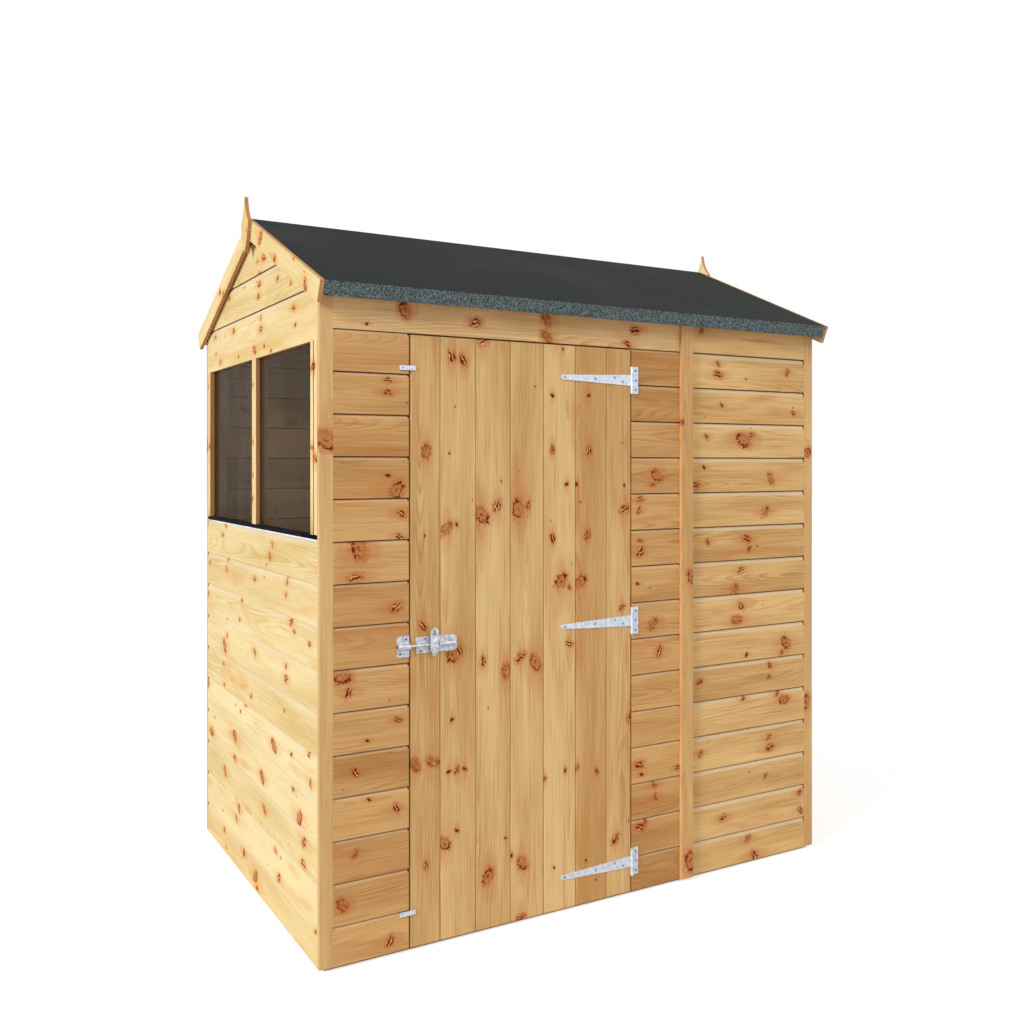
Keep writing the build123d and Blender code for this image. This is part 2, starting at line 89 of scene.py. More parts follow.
class Recipe:
    """A material and the steps that mix it."""

    def __init__(self, name, roughness=0.6, metallic=0.0, gloss=0.5):
        self.material = bpy.data.materials.new(name)
        self.material.use_nodes = True
        self.tree = self.material.node_tree
        self.shader = self.tree.nodes["Principled BSDF"]
        self.shader.inputs["Roughness"].default_value = roughness
        self.shader.inputs["Metallic"].default_value = metallic
        self.shader.inputs["Specular IOR Level"].default_value = gloss
        self.place = self.add("ShaderNodeTexCoord").outputs["Object"]
        self.colour = None

    def add(self, kind, inputs=None, **settings):
        """A node with its settings, and its inputs wired to outputs or set to values."""
        node = self.tree.nodes.new(kind)
        for key, value in settings.items():
            setattr(node, key, value)
        for key, value in (inputs or {}).items():
            self.feed(node.inputs[key], value)
        return node

    def feed(self, socket, value):
        """Wires an output to a socket, or sets the socket's value."""
        if isinstance(value, bpy.types.NodeSocket):
            self.tree.links.new(value, socket)
        else:
            socket.default_value = value

    def math(self, operation, *values, clamp=False):
        """One arithmetic step on up to three numbers."""
        inputs = dict(enumerate(values))
        return self.add("ShaderNodeMath", inputs, operation=operation, use_clamp=clamp).outputs[0]

    def gathered(self, operation, values):
        """One number from many: their sum with ADD, the largest of them with MAXIMUM."""
        total = values[0]
        for value in values[1:]:
            total = self.math(operation, total, value)
        return total

    def times(self, *values):
        """The product of the values."""
        return self.gathered("MULTIPLY", values)

    def less(self, value, amount):
        """The value less the amount."""
        return self.math("SUBTRACT", value, amount)

    def line(self, value, slope, height):
        """The value times the slope, plus the height."""
        return self.math("MULTIPLY_ADD", value, slope, height)

    def axes(self, vector=None):
        """The x, y and z of a place."""
        return self.add("ShaderNodeSeparateXYZ", {0: vector or self.place}).outputs

    def point(self, x=0.0, y=0.0, z=0.0):
        """A place made of three numbers."""
        return self.add("ShaderNodeCombineXYZ", {0: x, 1: y, 2: z}).outputs[0]

    def noise(self, vector, scale, detail=2.0, roughness=0.5):
        """Smooth noise, about 0.5 in the middle."""
        inputs = {"Vector": vector, "Scale": scale, "Detail": detail, "Roughness": roughness}
        return self.add("ShaderNodeTexNoise", inputs).outputs["Fac"]

    def chance(self, vector):
        """Four numbers from 0 to 1 that depend on the vector alone: a value and three more."""
        drawn = self.add("ShaderNodeTexWhiteNoise", {"Vector": vector}).outputs
        return drawn["Value"], self.parts(drawn["Color"])

    def parts(self, colour):
        """The red, green and blue of a colour."""
        return self.add("ShaderNodeSeparateColor", {0: colour}).outputs

    def stretched(self, vector, factors):
        """A place whose x, y and z are multiplied by three factors."""
        return self.add("ShaderNodeVectorMath", {0: vector, 1: factors},
                        operation="MULTIPLY").outputs[0]

    def scaled(self, vector, factor):
        """A place multiplied by one number."""
        return self.add("ShaderNodeVectorMath", {0: vector, 3: factor},
                        operation="SCALE").outputs[0]

    def turned(self, vector, angle):
        """A place turned about the z axis."""
        return self.add("ShaderNodeVectorRotate", {"Vector": vector, "Angle": angle},
                        rotation_type="Z_AXIS").outputs[0]

    def length(self, vector):
        """How far a place is from the origin."""
        return self.add("ShaderNodeVectorMath", {0: vector}, operation="LENGTH").outputs[1]

    def fade(self, value, start, end, low=0.0, high=1.0):
        """A smooth change from low to high as value goes from start to end."""
        inputs = {"Value": value, "From Min": start, "From Max": end, "To Min": low,
                  "To Max": high}
        return self.add("ShaderNodeMapRange", inputs, interpolation_type="SMOOTHSTEP").outputs[0]

    def mix(self, share, first, second):
        """Two colours mixed by a share. A tuple is a screen colour, 0 to 255."""
        first, second = (linear(*c) if isinstance(c, tuple) else c for c in (first, second))
        node = self.add("ShaderNodeMix", {0: share, 6: first, 7: second}, data_type="RGBA")
        return node.outputs[2]

    def paint(self, share, shade):
        """Lays a screen colour over the colour so far, as thickly as the share says."""
        self.colour = self.mix(share, self.colour, shade)

    def bump(self, height, distance, strength):
        """Fine relief on the surface, height 1 standing the distance above height 0."""
        inputs = {"Height": height, "Distance": distance, "Strength": strength}
        normal = self.add("ShaderNodeBump", inputs).outputs[0]
        self.feed(self.shader.inputs["Normal"], normal)

    def finished(self):
        """The material, with the colour so far as its surface's colour."""
        self.feed(self.shader.inputs["Base Color"], self.colour)
        return self.material


def dress(material, *names):
    """Puts one material on the named solids."""
    for name in names:
        mesh = nodes[name].data
        mesh.materials.clear()
        mesh.materials.append(material)


# %% [markdown]
# Pine
#
# A board is sawn along the tree, so its growth rings show as long streaks, and each branch that
# it cut through shows as a knot that the streaks flow round. The pattern is worked out in the
# board's own terms: how far along the grain, how far across, and which board it is. Every board
# gets its own tone and its own place in the noise, so that no streak runs on into its neighbour.

# %% Where a point lies on its board
AXIS = {"x": 0, "y": 1, "z": 2}
DEPTH_STEP = 0.35


class Board:
    """A point's place on its board, and numbers drawn by chance for each board.

    The pitch is the width of a board and start is where the first one begins. Faces more than a
    depth step apart, such as the front and the back of the shed, belong to different boards.
    """

    def __init__(self, r, along, across, pitch, start, seed):
        place = r.axes()
        third = ({"x", "y", "z"} - {along, across}).pop()
        self.along, self.depth = place[AXIS[along]], place[AXIS[third]]
        self.pitch, self.start, self.seed = pitch, start, seed
        steps = r.math("DIVIDE", r.less(place[AXIS[across]], start), pitch)
        self.number = r.math("FLOOR", steps)
        self.up = r.times(r.less(steps, self.number), pitch)
        side = r.math("FLOOR", r.math("DIVIDE", self.depth, DEPTH_STEP))
        self.chance, self.tints = r.chance(r.point(self.number, side, seed))


# %% [markdown]
# Where the knots are
#
# A board is cut in thought into equal cells, each with one knot or none. Mostly the knots are
# drawn by chance. Those that catch the eye on the real shed are listed, and a colour ramp
# with constant steps serves as the list: each step is one cell of one board, its red is the place
# along the cell, its green the place across the board and its blue the size. A ramp holds 32
# steps, so a long list is shared out over several. Some have their cells shifted by half a cell,
# and each knot goes where it lies in the middle of its cell and isn't cut off.

# %% Knots by chance and knots from a list
LARGEST_KNOT = 25.0 * MM
RAMP_STEPS = 32


def shared_out(knots, board, ends, cells):
    """Ramps' worth of knots. A knot is (place along, place across, radius) in mm.

    Together the cells are half a cell longer than the board, so that they cover it when shifted.
    """
    cell = (ends[1] - ends[0]) / (cells - 0.5)
    rows = [(across * MM - board.start) / board.pitch for _, across, _ in knots]
    lowest = math.floor(min(rows))
    tables = []
    for (along, _, radius), row in zip(knots, rows):
        step = row - lowest
        way = (along * MM - ends[0]) / cell
        shift = 0.0 if 0.25 <= way % 1.0 < 0.75 else 0.5
        slot = (math.floor(step), math.floor(way + shift))
        free = [t for t in tables if t["shift"] == shift and slot not in t["knots"]]
        if not free:
            free = [{"shift": shift, "cell": cell, "start": ends[0] - shift * cell,
                     "cells": cells, "lowest": lowest, "knots": {}}]
            tables += free
        free[0]["knots"][slot] = ((way + shift) % 1.0, step % 1.0, radius * MM / LARGEST_KNOT)
    return tables


def from_list(r, board, number, table):
    """Looks a cell's knot up in the ramp: place along, place across, radius in metres."""
    cells, knots = table["cells"], table["knots"]
    boards = RAMP_STEPS // cells
    ramp = r.add("ShaderNodeValToRGB")
    steps = ramp.color_ramp.elements
    ramp.color_ramp.interpolation = "CONSTANT"
    for step in range(boards * cells):
        at = step / (boards * cells)
        element = steps[step] if step < 2 else steps.new(at)
        element.position = at
        element.color = (*knots.get((step // cells, step % cells), (0.5, 0.5, 0.0)), 1.0)
    row = r.less(board.number, float(table["lowest"]))
    step = r.math("ADD", r.line(row, cells, number), 0.5)
    r.feed(ramp.inputs[0], r.math("DIVIDE", step, boards * cells))
    inside = r.times(r.math("COMPARE", number, (cells - 1) / 2, cells / 2),
                     r.math("COMPARE", row, (boards - 1) / 2, boards / 2))
    values = r.parts(ramp.outputs[0])
    radius = r.times(values[2], LARGEST_KNOT, inside)
    return values[0], values[1], radius


def by_chance(r, board, number, seed, presence, smallest, largest):
    """Draws a cell's knot: place along, place across, radius in metres, small ones oftener.

    The radius is the smallest plus the range, both in mm, times the square of a chance number.
    """
    value, dice = r.chance(r.point(number, board.number, r.math("ADD", board.chance, seed)))
    there = r.math("LESS_THAN", value, presence)
    radius = r.line(r.times(dice[2], dice[2]), (largest - smallest) * MM, smallest * MM)
    return r.line(dice[0], 0.5, 0.25), r.line(dice[1], 0.8, 0.1), r.times(radius, there)


# %% [markdown]
# Distance from a knot's middle is counted in knot radii, in a frame turned by an angle of the
# knot's own and drawn out along it, because most branches are cut on the slant. A ripple is added
# to the place, so that no outline is a plain oval.

# %% Where a point lies on its knot
class Knot:
    """A point's place from the middle of the knot in its cell.

    Ahead and above are in metres. The place is turned, the ripple times the radius is added, it
    is drawn out lengthways and divided by the radius, so that the outline is at length 1. The
    dice, a chance number for each knot, is the fraction of a large multiple of its measures.
    """

    def __init__(self, r, board, ripple, cell, start, choose):
        way = r.math("DIVIDE", r.less(board.along, start), cell)
        number = r.math("FLOOR", way)
        share = r.less(way, number)
        along, across, radius = choose(r, board, number)
        self.radius = r.math("MAXIMUM", radius, 0.1 * MM)
        self.dice = r.math("FRACT", r.line(r.math("ADD", along, across), 97.3,
                                           r.times(self.radius, 7919.0)))
        self.ahead = r.times(r.less(share, along), cell)
        self.above = r.line(across, -board.pitch, board.up)
        self.to_cell_edge = r.math("MINIMUM", share, r.less(1.0, share))
        turned = r.turned(r.point(self.ahead, self.above), r.line(self.dice, 2.6, -1.3))
        place = r.add("ShaderNodeVectorMath", {0: ripple, 1: self.radius, 2: turned},
                      operation="MULTIPLY_ADD").outputs[0]
        self.place = r.scaled(r.stretched(place, (0.7, 1.1, 0.0)),
                              r.math("DIVIDE", 1.0, self.radius))
        self.ratio = r.length(self.place)


# %% [markdown]
# What a knot looks like
#
# A small knot is dark crimson all over. A middling one shows the branch as dark strokes with pale
# wood between. A large one has a tan heart with rings and a dark pith inside a rim that is nearly
# black where bark was trapped, on one side more than on the other. Resin reddens the wood close
# by and reaches further along the grain.

# %% The parts of a knot
def knot_parts(r, knot):
    """The strength of each part of a knot, and how far the grain bends round it."""
    x, y, _ = r.axes(knot.place)
    middling = r.fade(knot.radius, 6.0 * MM, 8.5 * MM)
    large = r.fade(knot.radius, 12.5 * MM, 15.0 * MM)
    body = r.fade(knot.ratio, 1.05, 0.8)
    small = r.times(r.less(1.0, middling), r.fade(knot.ratio, 1.0, 0.6))
    branch = r.times(middling, body, r.less(1.0, large))
    strokes = r.math("SINE", r.line(y, 6.5, r.times(knot.dice, 6.0)))
    slant = r.line(knot.dice, 2.0, -1.0)
    side = r.math("DIVIDE", r.line(x, slant, y), knot.ratio)
    off_rim = r.math("ABSOLUTE", r.less(knot.ratio, 0.9))
    rim = r.times(r.fade(off_rim, 0.24, 0.06), r.fade(side, 0.9, -0.3, 0.25, 1.0))
    pith = r.fade(knot.ratio, 0.36, 0.12, 0.0, 0.7)
    rings = r.line(r.math("SINE", r.times(knot.ratio, 17.0)), 0.2, 0.75)
    dark = r.math("MAXIMUM", small, r.times(branch, r.fade(strokes, -0.75, -0.05)))
    dark = r.math("MAXIMUM", dark, r.times(r.math("MAXIMUM", rim, pith), large))
    reach = r.length(r.point(r.times(knot.ahead, 0.35), knot.above))
    halo = r.times(r.fade(r.math("DIVIDE", reach, knot.radius), 2.4, 0.7, 0.0, 0.5),
                   r.fade(knot.to_cell_edge, 0.0, 0.12))
    return {"dark": dark, "near": r.fade(knot.ratio, 1.9, 0.9), "halo": halo,
            "heart": r.times(body, large, rings),
            "pale": r.times(branch, r.fade(strokes, -0.55, -0.95)),
            "bend": r.times(knot.above, halo, -0.9)}


# %% [markdown]
# A board carries its listed knots, or else middling ones by chance, and a few pin knots on top.
# The cells that are drawn by chance begin elsewhere on each board, so that knots don't stand in
# rows. Where layers of knots meet, the stronger mark wins, and the bends of the grain add up.

# %% All the knots of a board
KNOT_CELL, KNOT_SHARE, SMALLEST_KNOT = 0.21, 0.6, 4.0
PIN_CELL, PIN_SHARE, SMALLEST_PIN = 0.13, 0.22, 1.5
CELL_SHIFT = -7.3


def all_knots(r, board, listed, ends, cells, largest):
    """The strength of each part where layers of knots meet, and the bent place across."""
    wave = r.add("ShaderNodeTexNoise", {"Vector": r.place, "Scale": 95.0, "Detail": 2.0})
    wave = r.add("ShaderNodeVectorMath", {0: wave.outputs["Color"], 1: (0.5, 0.5, 0.5)},
                 operation="SUBTRACT")
    ripple = r.scaled(wave.outputs[0], 1.7)
    tables = shared_out(listed, board, ends, cells) if listed else []
    kinds = [(t["cell"], t["start"], partial(from_list, table=t)) for t in tables]
    shift = r.times(board.chance, CELL_SHIFT)
    if not listed:
        kinds.append((KNOT_CELL, shift, partial(by_chance, seed=board.seed, presence=KNOT_SHARE,
                                                smallest=SMALLEST_KNOT, largest=largest)))
    kinds.append((PIN_CELL, shift, partial(by_chance, seed=board.seed + 3.1, presence=PIN_SHARE,
                                           smallest=SMALLEST_PIN, largest=SMALLEST_KNOT)))
    layers = [knot_parts(r, Knot(r, board, ripple, *kind)) for kind in kinds]
    marks = {part: r.gathered("MAXIMUM", [layer[part] for layer in layers])
             for part in ("dark", "near", "halo", "heart", "pale")}
    bent = r.gathered("ADD", [board.up, *[layer["bend"] for layer in layers]])
    return marks, bent


# %% [markdown]
# The wood itself is built up in the order in which a painter would: the board's own tone, slow
# clouds, the growth rings, fine fibres, and the knots on top. The rings are circles round the
# tree's heart, which lies a little behind the board and slants away from it. Where the face just
# touches a ring the lines are wide apart and close in arches, and towards the edges they crowd.

# %% Grain
RINGS_PER_METRE = 260.0
GRAIN_SHIFT = 37.0


def streaks(r, grain, lengthways, crossways, detail):
    """Noise that changes so many times a metre along the grain and so many across it."""
    return r.noise(r.stretched(grain, (lengthways, crossways, crossways)), 1.0, detail, 0.55)


def late_wood(r, board, grain, bent, offset):
    """How much dark late wood shows, 0 to 1.

    The ring's number is the distance from the tree's heart times the rings in a metre. Its
    fraction is how far the year has gone: the wood darkens slowly and the dark ends at once.
    """
    heart = r.line(board.tints[0], 1.1 * board.pitch, -0.05 * board.pitch)
    slant = r.line(board.tints[2], 0.06, -0.03)
    behind = r.line(streaks(r, grain, 1.3, 9.0, 1.0), 0.05, r.line(board.along, slant, 0.03))
    distance = r.length(r.point(r.less(bent, heart), behind, 0.0))
    rings = r.times(distance, RINGS_PER_METRE)
    year = r.math("FRACT", r.math("ADD", rings, offset))
    late = r.times(r.fade(year, 0.35, 0.9), r.fade(year, 1.0, 0.94))
    return r.times(late, r.fade(streaks(r, grain, 0.9, 25.0, 2.0), 0.35, 0.65, 0.1, 1.0))


def paint_wood(r, board, grain, late, clouds, fibres, tones):
    """Bare wood: between deep and pale by tone, with warm patches and flecks.

    The tone is 0.68, plus twice the swing of the clouds, less 0.45 times the late wood, plus 1.3
    times the swing of the fibres, and 0.3 more or less from board to board.
    """
    tone = r.line(r.less(clouds, 0.5), 2.0, 0.68)
    tone = r.line(late, -0.45, tone)
    tone = r.line(r.less(fibres, 0.5), 1.3 * tones["fine"], tone)
    tone = r.math("ADD", tone, r.line(board.tints[1], 0.6, -0.3), clamp=True)
    r.colour = r.mix(tone, tones["deep"], tones["pale"])
    patches = r.times(r.fade(streaks(r, grain, 3.0, 14.0, 2.0), 0.54, 0.74), 0.4)
    flecks = r.times(r.fade(streaks(r, grain, 4.0, 130.0, 1.0), 0.6, 0.76), 0.5 * tones["fine"])
    warmth = r.math("ADD", r.math("MAXIMUM", patches, flecks), r.times(board.tints[2], 0.12))
    r.paint(warmth, tones["warm"])


def paint_knots(r, marks, fibres, tones):
    """The knots, from the reddened wood around them to their darkest lines."""
    speckle = r.fade(fibres, 0.38, 0.6, 0.35, 1.0)
    r.paint(r.times(marks["halo"], speckle), tones["warm"])
    r.paint(r.times(marks["near"], speckle, 0.8), tones["stain"])
    r.paint(marks["heart"], (186, 120, 66))
    r.paint(r.times(marks["pale"], 0.75), (228, 184, 128))
    r.paint(marks["dark"], tones["ink"])


# %% [markdown]
# The coves of the cladding
#
# Each cladding board is hollowed along its top edge, so that rain runs off it. The hollow looks
# up into the sky, and a painted highlight makes it paler than the face below. At the end of a
# board it is open, and painted shadow darkens the open end. Behind the cladding, where no sky
# reaches, painted shade darkens the joints.

# %% Coves and joints
COVE = 15.0 * MM


def paint_cove_highlight(r, board, face, cove):
    """The hollow's painted highlight. Its height is a share of the cove's. Returns its strength."""
    pale_from = board.pitch - COVE * cove["share"]
    strength = r.times(r.fade(board.up, pale_from - 1.2 * MM, pale_from + 0.6 * MM),
                       r.fade(face, 0.05, 0.3))
    strength = r.times(strength, cove["strength"])
    # Painted highlight: the hollow is paler where it looks up into the sky.
    r.paint(strength, cove["highlight_tint"])
    return strength


def paint_cove_shade(r, board, face, cove, hollow, end):
    """Painted shadow in the open end, and painted shade at the joints of the inward face."""
    to_end, open_end = r.less(end, board.along), cove["open_end"]
    hole = r.fade(to_end, open_end, 0.6 * open_end, 0.0, 0.85 / cove["strength"])
    # Painted shadow in the open end of the hollow.
    r.paint(r.times(hollow, hole), (88, 38, 18))
    gap = r.math("MINIMUM", board.up, r.less(board.pitch, board.up))
    inside = r.times(r.fade(face, 0.0, -0.3), r.fade(gap, 4.0 * MM, 1.0 * MM))
    # Painted shade on the inward face near each joint.
    r.paint(r.times(inside, 0.85), (58, 34, 20))


def paint_joint_shadows(r, board, strength, shadow):
    """A painted shadow line over each joint, and a painted shadow of so many mm under it."""
    over = r.fade(board.up, 1.2 * MM, 0.4 * MM, 0.0, strength)
    to_next = r.less(board.pitch, board.up)
    under = r.fade(to_next, shadow * MM, (shadow - 0.8) * MM, 0.0, strength)
    # Painted shadow over and under each joint.
    r.paint(r.math("MAXIMUM", over, under), (104, 42, 18))


# %% [markdown]
# A material for planed boards puts these steps together. The boards of the roof need one more
# step: their place is measured down the slope and square to it, so that the grain follows them.

# %% Pine boards
HONEY = {"pale": (217, 177, 121), "deep": (184, 134, 80), "warm": (191, 117, 62),
         "ink": (116, 26, 6), "stain": (178, 90, 32), "fine": 1.0}


def down_the_slope(r, slope):
    """A place on a roof: x, the way down from the ridge, and the height square to the slope.

    The way down is the run times the cosine of the slope, less the height times its sine.
    """
    x, y, z = r.axes()
    run = r.math("ABSOLUTE", y)
    sine, cosine = math.sin(slope), math.cos(slope)
    down = r.line(z, -sine, r.times(run, cosine))
    square = r.line(z, cosine, r.times(run, sine))
    return r.point(x, r.times(down, r.math("SIGN", y)), square)


def pine(name, along, across, pitch, start=0.0, seed=0.0, slope=0.0, listed=(), ends=(0.0, 1.0),
         cells=4, largest=13.0, cove=None, joints=0.6, shadow=1.2, edge_colour_and_shade=None, **tones):
    """Planed pine boards that run along one axis and lie side by side along another.

    Knots are listed between two ends and looked up in so many cells a board, or drawn by chance
    up to the largest radius in mm. The painted shadows at the joints are as strong as given. The
    edge colour and shade, if given, is both the colour of a sawn edge and painted shade on faces
    turned from the window-side lamp, and tones replace those of honey-coloured wood.
    """
    tones = {**HONEY, **tones}
    r = Recipe(name, gloss=0.12)
    if slope:
        r.place = down_the_slope(r, slope)
    normal = r.axes(r.add("ShaderNodeTexCoord").outputs["Normal"])
    board = Board(r, along, across, pitch, start, seed)
    marks, bent = all_knots(r, board, listed, ends, cells, largest)
    offset = r.times(board.chance, GRAIN_SHIFT)
    grain = r.point(r.math("ADD", board.along, offset), bent, r.math("ADD", board.depth, offset))
    clouds = streaks(r, grain, 1.5, 11.0, 3.0)
    fibres = streaks(r, grain, 6.0, 300.0, 3.0)
    paint_wood(r, board, grain, late_wood(r, board, grain, bent, offset), clouds, fibres, tones)
    if cove:
        sign, axis = cove["outward"]
        face = r.times(normal[AXIS[axis]], -1.0 if sign == "-" else 1.0)
        hollow = paint_cove_highlight(r, board, face, cove)
    paint_knots(r, marks, fibres, tones)
    if cove:
        paint_cove_shade(r, board, face, cove, hollow, ends[1])
    if joints:
        paint_joint_shadows(r, board, joints, shadow)
    if edge_colour_and_shade:
        # Faces not turned to the window-side lamp are painted redder: partly the colour of a sawn
        # edge, partly painted shade.
        r.paint(r.fade(r.math("ABSOLUTE", normal[0]), 0.6, 0.4, 0.0, 0.75), edge_colour_and_shade)
    r.feed(r.shader.inputs["Roughness"], r.line(clouds, 0.2, 0.45))
    straight = r.point(board.along, board.up, board.depth)
    r.bump(r.noise(r.stretched(straight, (8.0, 600.0, 600.0)), 1.0, 1.0), 0.5 * MM, 0.35)
    print(name, "nodes:", len(r.tree.nodes))
    return r.finished()


# %% [markdown]
# The knots that catch the eye
#
# These lists were made from a straightened view of each wall with a ruler laid over it.
# A knot is its place along the wall, its height and its radius, in millimetres. Places are read
# to about 5 mm, and knots too faint to place are left to chance.

# %% Lists of knots
LEFT_STRIP_KNOTS = [
    (-705, 1575, 8), (-705, 1540, 8), (-705, 1315, 6), (-680, 1275, 17), (-665, 1210, 9),
    (-670, 1145, 9), (-790, 1120, 21), (-800, 1040, 13), (-680, 955, 13), (-835, 775, 15),
    (-820, 735, 10), (-675, 645, 8), (-765, 600, 5), (-800, 520, 9), (-760, 440, 5),
    (-680, 405, 9), (-800, 300, 8), (-835, 170, 14), (-700, 45, 11)]
MIDDLE_STRIP_KNOTS = [
    (215, 1310, 15), (200, 1280, 7), (150, 1235, 9), (145, 1200, 8), (150, 1105, 7),
    (150, 1070, 12), (140, 970, 5), (200, 840, 14), (225, 750, 12), (145, 400, 13),
    (155, 370, 6), (300, 370, 8), (205, 330, 8), (210, 290, 8), (150, 205, 12), (170, 220, 7)]
RIGHT_PANEL_KNOTS = [
    (400, 1785, 10), (470, 1675, 8), (470, 1640, 12), (780, 1660, 9), (485, 1540, 6),
    (810, 1520, 8), (420, 1435, 8), (580, 1425, 20), (615, 1440, 10), (410, 1335, 6),
    (375, 1275, 12), (705, 1295, 14), (680, 1185, 13), (595, 1095, 13), (605, 1060, 8),
    (425, 1090, 8), (570, 990, 10), (540, 925, 14), (570, 870, 11), (550, 825, 14),
    (775, 730, 17), (755, 700, 8), (595, 705, 6), (390, 635, 9), (700, 660, 9), (695, 620, 7),
    (580, 560, 7), (735, 560, 8), (765, 535, 15), (395, 400, 9), (695, 415, 9), (700, 380, 12),
    (680, 285, 7), (490, 175, 10), (840, 205, 9), (845, 140, 11), (600, 85, 10), (630, 25, 13)]
GABLE_KNOTS = [
    (340, 1135, 8), (380, 1100, 8), (-195, 1105, 8), (-170, 1070, 11), (315, 1020, 7),
    (330, 985, 8), (560, 990, 8), (-10, 985, 9), (-335, 1010, 9), (-325, 970, 7),
    (140, 900, 6), (165, 835, 6), (585, 875, 8), (-375, 900, 11), (-400, 875, 7),
    (-530, 860, 8), (355, 720, 16), (325, 760, 8), (-10, 755, 10), (-325, 765, 7),
    (-325, 730, 11), (370, 655, 7), (360, 585, 7), (30, 610, 8), (-310, 635, 5),
    (585, 545, 11), (100, 570, 7), (155, 535, 5), (-210, 510, 16), (-375, 525, 6),
    (-525, 560, 8), (-540, 485, 10), (535, 385, 15), (225, 440, 16), (225, 365, 11),
    (-90, 385, 15), (-390, 430, 7), (-445, 365, 17), (350, 290, 14), (-115, 290, 12),
    (-485, 310, 13), (-480, 250, 12), (175, 215, 13), (205, 170, 9), (-225, 205, 9),
    (-260, 135, 12), (360, 85, 8), (115, 85, 11), (-15, 55, 17), (-35, 25, 9), (-580, 105, 7)]
DOOR_KNOTS = [
    (-625, 515, 14), (-570, 515, 14), (-590, 230, 8), (-590, 1380, 14), (-600, 895, 10),
    (-510, 810, 17), (-485, 815, 9), (-510, 625, 6), (-520, 480, 6), (-495, 480, 8),
    (-470, 480, 6), (-495, 310, 6), (-535, 280, 15), (-510, 1650, 12), (-475, 1640, 11),
    (-525, 1165, 14), (-495, 1175, 5), (-410, 780, 10), (-335, 745, 14), (-395, 160, 16),
    (-410, 1700, 13), (-415, 1200, 19), (-365, 1225, 12), (-285, 780, 13), (-235, 760, 17),
    (-280, 175, 15), (-315, 205, 5), (-285, 15, 12), (-295, 1215, 18), (-260, 1225, 8),
    (-115, 805, 9), (-130, 425, 5), (-205, 410, 7), (-170, 140, 4), (-175, 1550, 6),
    (-175, 1390, 8), (-125, 1285, 6), (-175, 1125, 10), (-145, 995, 17), (-115, 975, 7),
    (-90, 425, 8), (-15, 405, 7), (-55, 140, 4), (-45, 1555, 6), (-45, 1385, 10),
    (-90, 1285, 6), (-50, 1130, 11), (-75, 990, 15), (110, 555, 11), (55, 185, 12),
    (90, 1205, 13), (80, 900, 8)]
GABLE_TOP_KNOTS = [
    (-105, 1975, 12), (-245, 1890, 8), (-60, 1935, 7), (-60, 1900, 11), (-50, 1865, 9),
    (295, 1905, 8), (240, 1790, 10), (-75, 1795, 7), (-75, 1760, 12), (-395, 1785, 11),
    (-410, 1735, 6), (480, 1795, 7), (475, 1735, 6), (-40, 1975, 7), (-370, 1860, 7)]
HEAD_TRIM_KNOTS = [(415, 1700, 8), (-5, 1705, 12), (-110, 1705, 6), (-180, 1685, 6),
                   (180, 1700, 6)]
LINTEL_KNOTS = [(-655, 1770, 17), (-435, 1750, 12), (-195, 1775, 14), (-195, 1725, 14),
                (130, 1765, 12), (100, 1720, 9)]
CORNER_KNOTS = [(-880, 1410, 24), (875, 1385, 15), (870, 515, 18)]
COVER_STRIP_KNOTS = [(350, 980, 17), (343, 65, 22), (312, 1480, 7)]
BARGEBOARD_KNOTS = [(700, 1910, 15), (535, 1885, 11), (235, 1890, 13), (-460, 1910, 10),
                    (-495, 1885, 8), (360, 1930, 4)]
UPRIGHT_KNOTS = [(-565, 1605, 10), (-560, 1390, 7), (-580, 1360, 10), (560, 1410, 10),
                 (585, 1625, 7), (10, 1415, 6), (10, 1310, 5), (15, 1235, 6), (10, 1595, 5)]
print("listed knots:", sum(map(len, (
    LEFT_STRIP_KNOTS, MIDDLE_STRIP_KNOTS, RIGHT_PANEL_KNOTS, GABLE_KNOTS, DOOR_KNOTS,
    GABLE_TOP_KNOTS, HEAD_TRIM_KNOTS, LINTEL_KNOTS, CORNER_KNOTS, COVER_STRIP_KNOTS,
    BARGEBOARD_KNOTS, UPRIGHT_KNOTS))))

# %% [markdown]
# The boards of each wall. The joints between them are where the solids have their shadow gaps,
# so the pattern's steps start at the lowest joint and repeat by one course. The walls were
# dipped in one honey-coloured bath. The sunny gable is painted much paler than the front, as
# painted sunlight, and the two strips of the front beside the door are painted a little darker
# than the panel on the right, as painted shade. For each wall the list gives which way it looks,
# its knots, the cells in a board, its tones and its kind. The last three numbers are for its
# coves: how strong their painted highlight is, the share of their height that it covers, and
# how many mm at their open end are painted in shadow.

# %% Dress the walls
COURSE = 113.6 * MM
LOWEST_JOINT = 117.0 * MM
# The sunny gable's tones are paler as painted sunlight. The shaded tones of the strips beside the
# door are darker as painted shade.
sunlit_gable_tones = {"pale": (230, 212, 162), "deep": (203, 173, 109), "warm": (208, 146, 62),
               "fine": 0.6, "ink": (112, 20, 0), "stain": (214, 116, 28)}
wall_tones = {"pale": (226, 189, 128), "deep": (185, 140, 83)}
shaded_tones = {"pale": (211, 167, 109), "deep": (171, 122, 70), "warm": (184, 108, 50)}
